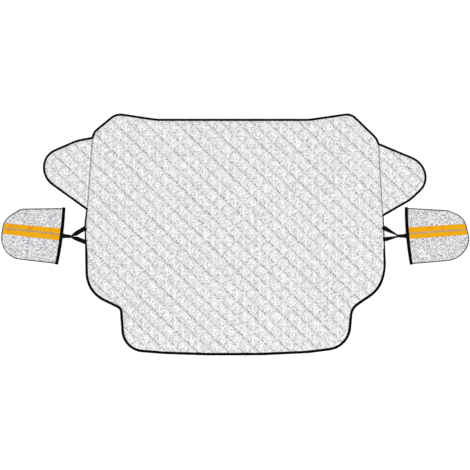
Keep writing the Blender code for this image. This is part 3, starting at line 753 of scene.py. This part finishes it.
# The lower tape's width over its nominal one, by height on the cover.
lower_widths = {
    "right": ((-0.24, -0.17, -0.095, -0.035), (broadest_tape, 1.02, 1.00, 0.42)),
    "left": ((-0.24, -0.17, -0.080, -0.035), (broadest_tape, 1.12, 1.10, 0.70)),
}


def meeting_line(path_in, path_out):
    """The line along which two tapes are cut where one turns into the other."""
    both = unit(path_in[-1] - path_in[-2]) + unit(path_out[1] - path_out[0])
    return unit(np.array([-both[1], both[0]]))


def cut_end(frames, end, line):
    """One end of a tape cut along a line, a hair short of the tape that it meets."""
    point, outward, upward = (np.array(part, float) for part in frames[end])
    line = np.array([*line, 0.0])
    point += np.cross(outward, upward) * (seat_gap / 2 if end == 0 else -seat_gap / 2)
    frames[end] = (point, line * (outward @ outward) / (line @ outward), upward)


def laid_unevenly(frames):
    """The lower tape shows more of itself round the foot, and less above the straps."""
    for at, (point, outward, upward) in enumerate(frames):
        scale = np.interp(point[1], *lower_widths["right" if point[0] > 0 else "left"])
        outward = np.array(outward)
        point = np.array(point) + outward * tape_width / 2 * (1 - scale)
        frames[at] = (point, outward * scale, upward)


paths = (top_path, right_wing_path, lower_path, left_wing_path)
names = ("top_binding", "right_wing_binding", "lower_binding", "left_wing_binding")
for number, (name, path) in enumerate(zip(names, paths)):
    before, after = paths[number - 1], paths[(number + 1) % 4]
    frames = level_frames(evenly(path, ring_step), tape_wander, number)
    if name == "lower_binding":
        laid_unevenly(frames)
    cut_end(frames, 0, meeting_line(before, path))
    cut_end(frames, -1, meeting_line(path, after))
    carried(name + "_tape", frames, binding_section, black_tape, name)


# The seam tape: a flat grey tape sewn over each wing's seam on the reverse. It stops short of the
# bound edges at both ends.
grey_tape = woven("grey_tape", (0.12, 0.12, 0.13), 0.8, 0.0011, 0.002, (0.3, 0.3, 0.3))
seam_margin = 1.5 * tape_width
for side, line in (("right", right_seam_line), ("left", left_seam_line)):
    path = spots_at(line, (seam_margin, lengths_along(line)[-1] - seam_margin))
    section = [(-0.0098, 0), (0.0098, 0), (0.010, 0.0002), (0.010, 0.0006), (0.0098, 0.0008)]
    section += [(-0.0098, 0.0008), (-0.010, 0.0006), (-0.010, 0.0002)]
    frames = level_frames(evenly(path, ring_step))
    carried(side + "_seam_reverse", frames, section, grey_tape, side + "_seam_tape")


# The mirror covers: two half-round pouches of crinkled film, front and back sewn together round the
# curve, their mouths hemmed with black tape. A bright tape with a reflective line runs across each.
mirror_covers = {
    "left": {
        "mouth_middle": (-0.8591, -0.0069),
        "tip_direction": 172.7,
        "up": -1,
        "seed": 7.0,
        "ends": (0.138, -0.140),
        "outline": [
            (0.220, 0.107, 0.067),
            (0.296, 0.042, 0.090),
            (0.296, -0.076, 0.118),
            (0.236, -0.142, 0.177),
        ],
        "bright_tape": ((-0.0240, 0.0369), (-0.0268, 0.0260)),
        "reflective_line": (0.0074, 0.0010),
    },
    "right": {
        "mouth_middle": (0.8522, -0.0069),
        "tip_direction": 5.1,
        "up": 1,
        "seed": 19.0,
        "ends": (0.139, -0.140),
        "outline": [
            (0.212, 0.108, 0.062),
            (0.290, 0.066, 0.096),
            (0.308, -0.072, 0.107),
            (0.233, -0.141, 0.212),
        ],
        "bright_tape": ((-0.0157, 0.0414), (-0.0208, 0.0335)),
        "reflective_line": (0.0109, 0.0053),
    },
}
hem_width, hem_overhang, hem_rings = 0.0145, 0.0016, 71
mouth_bow, mouth_rise, flat_rim = 0.006, 0.0125, 0.94
foil_thickness = 0.0010
edge_tape, edge_tape_width = 0.0006, 0.0050
back_foot = edge_tape + seat_gap
front_foot = back_foot + foil_thickness + seat_gap
bright_lift, bright_thickness = front_foot + foil_thickness + 0.0004, 0.0005
ribbon_lift, ribbon_thickness, ribbon_half = bright_lift + 0.0007, 0.0003, 0.00325


class MirrorCover:
    """One pouch in its own frame: x from the middle of the mouth to the tip, y up the mouth."""

    def __init__(self, sizes):
        self.up = sizes["up"]
        self.seed = sizes["seed"]
        path = rounded_path((0.0, sizes["ends"][0]), sizes["outline"], (0.0, sizes["ends"][1]))
        self.path = path * [1, self.up]
        self.half = max(abs(end) for end in sizes["ends"])
        self.length = path[:, 0].max()
        self.middle = np.array([*sizes["mouth_middle"], 0.0])
        angle = math.radians(sizes["tip_direction"])
        self.turn = np.array([
            [math.cos(angle), -math.sin(angle), 0],
            [math.sin(angle), math.cos(angle), 0],
            [0, 0, 1],
        ])
        rim = evenly(self.path, 0.002)
        around = np.arctan2(rim[:, 0], rim[:, 1])
        order = np.argsort(around)
        self.around, self.reach = around[order], np.linalg.norm(rim, axis=1)[order]

    def share_out(self, x, y):
        """How far out a point lies: 0 at the middle of the mouth, 1 on the outline."""
        reach = np.interp(np.arctan2(x, y), self.around, self.reach)
        return np.hypot(x, y) / reach

    def crinkle(self, x, y):
        """Loose creases of the film, laid flat towards the sewn rim."""
        calm = np.clip((1 - self.share_out(x, y)) / 0.12, 0, 1)
        rise = np.array([
            abs(noise.noise(Vector((a * 26, b * 34, self.seed)))) * -0.0022
            + abs(noise.noise(Vector((a * 75, b * 60, self.seed)))) * -0.0012
            for a, b in zip(x, y)
        ])
        return rise * calm + 0.0006 * calm

    def rise(self, x, y):
        """Height of the front above its sewn rim."""
        share = np.minimum(1.0, self.share_out(x, y) / flat_rim)
        return mouth_rise * (1 - share**2) + self.crinkle(x, y)

    def placed(self, points):
        """Points of this frame, bowed at the mouth and moved to where the pouch lies."""
        points = np.array(points, float)
        bow = np.clip(1 - (points[:, 1] / self.half) ** 2, 0, 1)
        points[:, 0] -= mouth_bow * bow * np.clip(1 - points[:, 0] / self.length, 0, 1)
        return points @ self.turn.T + self.middle


def pouch_panel(cover, name, raised, finish):
    """Front or back: rings round the middle of the mouth, given the film's thickness."""
    rim = evenly(cover.path, 0.0040)
    shares = np.concatenate([np.linspace(0, 0.9, 54), [0.915, 0.93, 0.945, 0.96, 0.98, 1.0]])
    counts = np.array([len(rim) - 1, len(shares) - 1])
    made, places = new_grid(name, *map(int, counts))
    column, row = np.round(places * counts).astype(int).T
    x, y = (rim[column] * shares[row][:, None]).T
    rise = cover.rise(x, y) if raised else 0.25 * cover.crinkle(x, y)
    height = np.maximum((front_foot if raised else back_foot) + rise, back_foot)
    set_points(made.data, cover.placed(np.stack([x, y, height], 1)))
    made.data.materials.append(finish.material)
    return thickened(made, foil_thickness, 55, 0.00001)


def pouch_strip(cover, name, lines, lift, thickness, finish):
    """A tape laid over the front from the hem to the sewn edge, between two lines."""
    mouth, tip = lines
    near = hem_width + seat_gap
    made, places = new_grid(name, 90, max(3, math.ceil((mouth[1] - mouth[0]) / 0.004)))
    side = places[:, 1]
    from_y = (mouth[0] + (mouth[1] - mouth[0]) * side) * cover.up
    to_y = (tip[0] + (tip[1] - tip[0]) * side) * cover.up
    slope = (to_y - from_y) / (cover.length - near)
    end = np.full(len(side), cover.length)
    for _ in range(6):
        end = end / cover.share_out(end, from_y + slope * (end - near))
    far = end - (edge_tape_width - edge_tape) - 2 * seat_gap
    x = near + (far - near) * places[:, 0]
    y = from_y + slope * (x - near)
    height = lift + cover.rise(x, y)
    set_points(made.data, cover.placed(np.stack([x, y, height], 1)))
    made.data.materials.append(finish.material)
    return thickened(made, thickness, 55)


pouch_film = Finish("pouch_film", (0.92, 0.925, 0.94), 0.36, 0.4)
spot = pouch_film.spot()
wrinkle = pouch_film.noise(spot, 120, 3, 0.68, 1.4)
fine = pouch_film.noise(spot, 330, 2, 0.5)
crease = abs(wrinkle - 0.5)
speckle = grain(pouch_film, spot, 190, 0.55, 240, 0.36, 0.64)
pouch_film.relief(crease * -3.2 + fine * 0.5 + speckle * 1.5, 0.0009)
patch = pouch_film.noise(spot, 22, 2)
# The pouch film's colour: its small flats and spots are painted lighter and darker as painted
# reflections of the crumpled film, its creases are painted darker as painted shade, and broad
# patches differ at random in tone.
painted_light_and_tone = 0.29 + (speckle - 0.5) * 1.95 + crease.ramp(0.05, 0.0, 0, 0.20) + (patch - 0.5) * 0.25
pouch_film.turning(painted_light_and_tone, (0.24, 0.245, 0.265))
pouch_film.wear("Roughness", wrinkle.ramp(0.3, 0.7, 0.32, 0.50))

bright_cloth = Finish("bright_cloth", (0.86, 0.41, 0.004), 0.8, 0.0, Specular_IOR_Level=0.08)
spot = bright_cloth.spot()
rib = (bright_cloth.plan(spot)[1] * 420).cosine()
bright_cloth.relief(rib * 0.4 + bright_cloth.noise(spot, 500, 2), 0.0003)
patch = bright_cloth.noise(spot, 30, 3).ramp(0.52, 0.74)
bright_cloth.turning(patch, (0.82, 0.30, 0.012))

reflective = Finish("reflective_ribbon", (0.34, 0.27, 0.19), 0.35, 0.3)
spot = reflective.spot()
beads = {"Vector": spot, "Scale": 900}
beads = reflective.node("TexVoronoi", {"feature": "DISTANCE_TO_EDGE"}, beads, "Distance")
reflective.relief(beads, 0.0003)
streak = reflective.noise(spot, 80, 2).ramp(0.3, 0.7)
reflective.turning(streak, (0.44, 0.33, 0.20))

edge_cloth, edge_thread = (0.07, 0.07, 0.075), (0.14, 0.14, 0.14)
edge_grey = woven(
    "edge_tape", edge_cloth, 0.85, 0.0009, 0.001, edge_thread, Specular_IOR_Level=0.2
)
hem_black = woven(
    "hem_tape", black_cloth, 0.9, 0.0011, 0.018, black_thread, Specular_IOR_Level=0.05
)
covers = {}
for side, sizes in mirror_covers.items():
    cover = covers[side] = MirrorCover(sizes)
    name = side + "_mirror_"
    back = pouch_panel(cover, name + "back_film", False, pouch_film)
    front = pouch_panel(cover, name + "front_film", True, pouch_film)
    flat = (float(cover.length), float(2 * cover.half))
    lines = sizes["bright_tape"]
    bright = pouch_strip(
        cover, name + "bright_cloth", lines, bright_lift, bright_thickness, bright_cloth
    )
    lines = [(at - ribbon_half, at + ribbon_half) for at in sizes["reflective_line"]]
    ribbon = pouch_strip(
        cover, name + "reflective_ribbon", lines, ribbon_lift, ribbon_thickness, reflective
    )
    for piece, node, slot_name in (
        (back, "back", "crinkled_foil"),
        (front, "front", "crinkled_foil"),
        (bright, "bright_tape", "orange_tape"),
        (ribbon, "reflective_line", "reflective_tape"),
    ):
        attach(piece, "root")
        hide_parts(name + node)

    # The hem: one length of tape round the mouth, folded over the cut edges of front and back.
    middle_low = back_foot + foil_thickness / 2
    middle_high = front_foot + foil_thickness / 2
    ends = cover.path[0][1], cover.path[-1][1]
    ends = min(ends) - hem_overhang, max(ends) + hem_overhang
    y = np.linspace(*ends, hem_rings)
    just_outside = np.full(hem_rings, 1e-5)
    rise = np.maximum(0, cover.rise(just_outside, y))
    middle, radius = (middle_low + middle_high) / 2, (middle_high - middle_low) / 2
    bend = [(radius * math.cos(a), middle + radius * math.sin(a)) for a in (0.8, 0, -0.8)]
    ring = [*np.stack([y, middle_high + rise], 1)]
    ring += [(ends[1] + over, z) for over, z in bend]
    ring += [*np.stack([y[::-1], np.full(hem_rings, middle_low)], 1)]
    ring += [(ends[0] - over, z) for over, z in bend[::-1]]
    ring = np.array(ring)
    onward = units(np.roll(ring, -1, axis=0) - np.roll(ring, 1, axis=0))
    outward = np.stack([-onward[:, 1], onward[:, 0]], 1)
    cloth_half = foil_thickness / 2
    tape_low = cloth_half + seat_gap
    tape_high, lip = tape_low + edge_tape, -seat_gap - edge_tape
    section = [(lip, -cloth_half), (lip, tape_high - 0.0006), (lip + 0.0003, tape_high - 0.0001)]
    section += [(lip + 0.0009, tape_high), (0.006, tape_high), (hem_width - 0.0004, tape_high)]
    section += [(hem_width, tape_high - 0.0003), (hem_width - 0.0004, tape_low)]
    section += [(0.006, tape_low), (-seat_gap, tape_low), (-seat_gap, -cloth_half)]
    frames = []
    for (y, z), (ny, nz) in zip(ring, outward):
        place = cover.placed([(0.0, y, z)])[0]
        frames.append((place, cover.turn @ (1.0, 0, 0), cover.turn @ (0, ny, nz)))
    carried(name + "hem_tape", frames, section, hem_black, name + "hem", ends=False)

    # The edge tape: a narrow tape over the curved edge, from one end of the hem to the other.
    clockwise = cover.path if cover.up > 0 else cover.path[::-1]
    path = offset_path(clockwise, seat_gap + edge_tape - edge_tape_width / 2)
    path = cut_path(path, (hem_width + seat_gap, 0.0), (0.0, -1.0))
    path = evenly(path, 0.005)
    path = cover.placed(np.hstack([path, np.zeros((len(path), 1))]))[:, :2]
    edge_height = front_foot + foil_thickness + seat_gap + edge_tape
    section, frames = folded_tape(edge_tape_width, edge_height, edge_tape), level_frames(path)
    carried(name + "edge_tape", frames, section, edge_grey, name + "edge_binding")


# The straps: two legs of black webbing sewn to the binding of the panel's side. They twist until
# they stand on edge where they meet, run on together, and lie flat again on the pouch's hem.
webbing_width, webbing_thickness, webbing_edge = 0.022, 0.0012, 0.0004
strap_twist, strap_bend, strap_rings = math.radians(70), 0.014, 46
sewn_over, hem_clearance, side_step = 0.0028, 0.0007, 0.0017
turned_by, untwisting = 0.20, 0.62
straps = {
    "left": {
        "upper": 0.0325,
        "lower": -0.0385,
        "meeting": (-0.8116, -0.0100),
        "twist_run": 0.040,
        "twist_ease": 1.0,
        "joined_tilt": 50,
    },
    "right": {
        "upper": 0.0355,
        "lower": -0.0255,
        "meeting": (0.8064, -0.0075),
        "twist_run": 0.072,
        "twist_ease": 0.5,
        "joined_tilt": 56,
    },
}
webbing = Finish("webbing", (0.0018, 0.0018, 0.0020), 0.85, 0.0, Specular_IOR_Level=0.06)
along, over = webbing.along_tape()
rib = (along / 0.0016).cosine() * (over / 0.0022 + (along / 0.0032).from_line()).cosine()
webbing.relief(rib * 0.8 + webbing.noise(webbing.spot(), 400, 2) * 0.4, 0.0004)
webbing.turning(rib.ramp(-1, 1), (0.0060, 0.0060, 0.0065))


def smooth(u):
    """From 0 to 1 without a kink, as the value goes from 0 to 1."""
    u = min(1.0, max(0.0, u))
    return u * u * (3 - 2 * u)


def side_at_height(path, height, outward):
    """Where the outermost run of a path passes a height."""
    found = []
    for a, b in zip(path, path[1:]):
        if (a[1] - height) * (b[1] - height) <= 0 and a[1] != b[1]:
            found.append(a[0] + (b[0] - a[0]) * (height - a[1]) / (b[1] - a[1]))
    return np.array([max(found) if outward > 0 else min(found), height])


half, wide = webbing_thickness / 2, webbing_width / 2
flat_part = wide - webbing_edge
under = [(x, -half) for x in (-flat_part, -wide / 2, 0, wide / 2, flat_part)]
webbing_section = [(-wide, 0), *under, (wide, 0), *((-x, -y) for x, y in under)]
layer_step = half + seat_gap / 2
sewn_height = cloth_height + seat_gap + half
edge_height = wide * math.sin(strap_twist) + webbing_thickness
hem_top = front_foot + mouth_rise + foil_thickness + seat_gap + edge_tape
hem_height = hem_top + hem_clearance + half + layer_step
up = np.array([0.0, 0.0, 1.0])
for side, sizes in straps.items():
    cover, meeting = covers[side], np.array(sizes["meeting"])
    lip = cover.turn @ (-mouth_bow - edge_tape - seat_gap, 0, 0) + cover.middle
    end = cover.turn @ (hem_width * 0.8 - mouth_bow, 0, 0) + cover.middle
    stub = np.linalg.norm(lip[:2] - meeting)
    joined_tilt = math.radians(sizes["joined_tilt"])
    for leg, layer in (("upper", 1), ("lower", -1)):
        start = side_at_height(lower_path, sizes[leg], 1 if side == "right" else -1)
        inner = start - unit(meeting - start) * sewn_over
        plan = rounded_path(inner, [(*meeting, strap_bend)], end[:2])
        apex = np.linalg.norm(inner - meeting)
        frames = []
        for stop in np.linspace(0, lengths_along(plan)[-1], strap_rings):
            place, ahead, behind = spots_at(plan, (stop, stop + 0.002, stop - 0.002))
            run = unit(ahead - behind)
            beyond = stop >= apex
            away = abs(stop - apex) / (stub if beyond else sizes["twist_run"])
            if beyond:
                tilt = joined_tilt + (strap_twist - joined_tilt) * (1 - smooth(away / turned_by))
                tilt -= joined_tilt * smooth((away - untwisting) / (1 - untwisting))
            else:
                tilt = strap_twist * (1 - smooth(away)) ** sizes["twist_ease"]
            foot = hem_height if beyond else sewn_height
            height = foot + (edge_height - foot) * math.sin(tilt) / math.sin(strap_twist)
            apart = (layer_step + side_step * math.sin(2 * tilt)) * layer
            apart *= 1 if beyond else 1 - smooth(away)
            across_run = np.array([-run[1], run[0], 0.0]) * (-1 if run[0] < 0 else 1)
            face_way = math.cos(tilt) * up + math.sin(tilt) * across_run
            width_way = math.cos(tilt) * across_run - math.sin(tilt) * up
            beside = place[1] + apart * math.sin(tilt)
            above = height + apart * math.cos(tilt)
            frames.append(((place[0], beside, above), width_way, face_way))
        name = f"{side}_mirror_{leg}_strap"
        carried(name + "_webbing", frames, webbing_section, webbing, name)


# The stage: a white floor under the cover, soft light from all round and a wide sun from the
# lower right. The camera looks straight down, as in the picture.
bpy.ops.mesh.primitive_plane_add(size=60, location=(0, 0, -0.0002))
floor = bpy.context.object
floor.name = "floor"


def looks_like(finish, direct, output):
    """Shows another shader where the camera, a mirror or glass sees the surface itself. What it
    gives to the things round it stays that of its own shader."""
    seen = 0.0
    for ray in ("Is Camera Ray", "Is Glossy Ray", "Is Transmission Ray"):
        seen = finish.node("LightPath", {}, {}, ray).math("MAXIMUM", seen)
    own = Grade(finish, finish.shader.outputs[0])
    look = finish.node("MixShader", {}, {0: seen, 1: own, 2: direct})
    finish.tree.links.new(look.socket, finish.tree.nodes[output].inputs[0])


# The floor glows enough to come out white in the picture, and keeps the cover's soft shadow.
floor_white = Finish("floor_white", (0.9, 0.9, 0.9), 1.0, 0.0, Specular_IOR_Level=0.0)
shaded = floor_white.node("BsdfDiffuse", {}, {"Color": (0.42, 0.42, 0.42, 1)})
glow = floor_white.node("Emission", {}, {"Strength": 0.72})
as_seen = floor_white.node("AddShader", {}, {0: shaded, 1: glow})
looks_like(floor_white, as_seen, "Material Output")
floor.data.materials.append(floor_white.material)


class Room(Finish):
    """The light from all round, put together from the same nodes as a finish."""

    def __init__(self, name):
        self.world = bpy.data.worlds.new(name)
        self.world.use_nodes = True
        self.tree = self.world.node_tree
        self.shader = self.tree.nodes["Background"]


room = Room("soft_room")
bpy.context.scene.world = room.world
room.shader.inputs["Color"].default_value = (1, 1, 1, 1)
side_glow, top_glow = 0.74, 0.97
values = {0: room.node("TexCoord", {}, {}, "Generated"), 1: (0.12, -0.16, 0.98)}
facing = room.node("VectorMath", {"operation": "DOT_PRODUCT"}, values, "Value")
values = {0: facing, 1: 0.0, 2: 1.0, 3: side_glow, 4: top_glow}
room.wear("Strength", room.node("MapRange", {}, values))
backdrop = room.node("Background", {}, {"Color": (1, 1, 1, 1), "Strength": 1.0})
looks_like(room, backdrop, "World Output")

light = bpy.data.lights.new("key_lamp", "SUN")
light.energy = 0.52
light.angle = math.radians(22)
key_lamp = added("key_lamp", light)
key_lamp.rotation_euler = Vector((-0.28, 0.30, -0.90)).to_track_quat("-Z", "Y").to_euler()

eye = bpy.data.cameras.new("camera")
eye.sensor_width = 36
eye.lens = 150
camera = added("camera", eye)
picture_pixels, pixel = 470, 0.00495
camera_height = picture_pixels * pixel * eye.lens / eye.sensor_width
camera.location = (-0.0011, -0.0025, camera_height)
eye.clip_end = 100
bpy.context.scene.camera = camera

bpy.context.scene.view_settings.view_transform = "Standard"
